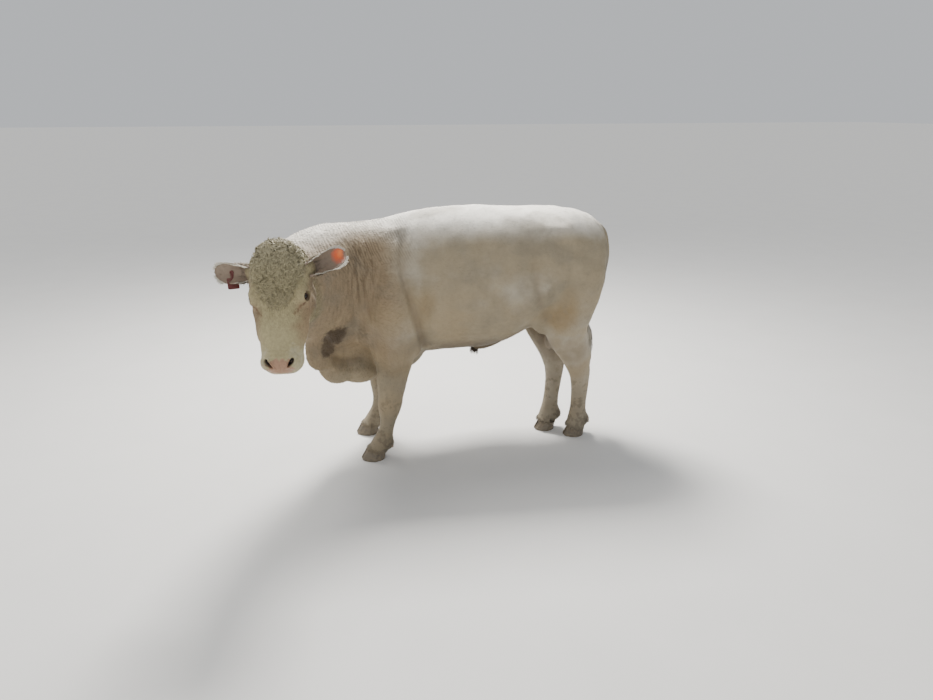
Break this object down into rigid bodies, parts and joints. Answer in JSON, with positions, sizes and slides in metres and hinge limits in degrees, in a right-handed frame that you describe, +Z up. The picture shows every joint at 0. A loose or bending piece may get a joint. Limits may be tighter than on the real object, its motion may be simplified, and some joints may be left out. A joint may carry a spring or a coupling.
{
  "type": "auliekol bull",
  "caption": "Life-size polled cream beef bull standing still with its head turned to its left, curly poll, dewlap, hanging tail and a plain ear tag.",
  "frame": {"origin": "middle of the bounding box on the floor under the hooves", "axes": "+Z up, the bull faces -X, its left side is -Y"},
  "size_m": [2.1818, 1.2122, 1.3827],
  "materials": {
    "coat": "short dense cream hair, soiled low on the legs and belly",
    "tail_hair": "coarse soiled cream hair",
    "bare_skin": "bare pink skin",
    "eye": "wet dark eye",
    "horn": "worn hoof horn",
    "tag": "dark red flexible plastic"
  },
  "bodies": {
    "root": {"claw_fore_left_inner": "horn", "claw_fore_left_outer": "horn", "claw_fore_right_inner": "horn", "claw_fore_right_outer": "horn", "claw_hind_left_inner": "horn", "claw_hind_left_outer": "horn", "claw_hind_right_inner": "horn", "claw_hind_right_outer": "horn", "dewclaw_fore_left_a": "horn", "dewclaw_fore_left_b": "horn", "dewclaw_fore_right_a": "horn", "dewclaw_fore_right_b": "horn", "dewclaw_hind_left_a": "horn", "dewclaw_hind_left_b": "horn", "dewclaw_hind_right_a": "horn", "dewclaw_hind_right_b": "horn", "ear_left": "coat", "ear_right": "coat", "eye_left": "eye", "eye_right": "eye", "fore_left_lower": "coat", "fore_left_upper": "coat", "fore_right_lower": "coat", "fore_right_upper": "coat", "head": "coat", "hind_left_lower": "coat", "hind_left_upper": "coat", "hind_right_lower": "coat", "hind_right_upper": "coat", "neck": "coat", "scrotum": "bare_skin", "sheath": "coat", "tag_back": "tag", "tag_front": "tag", "tail_dock": "coat", "tail_switch": "tail_hair", "torso": "coat"}
  },
  "joints": []
}
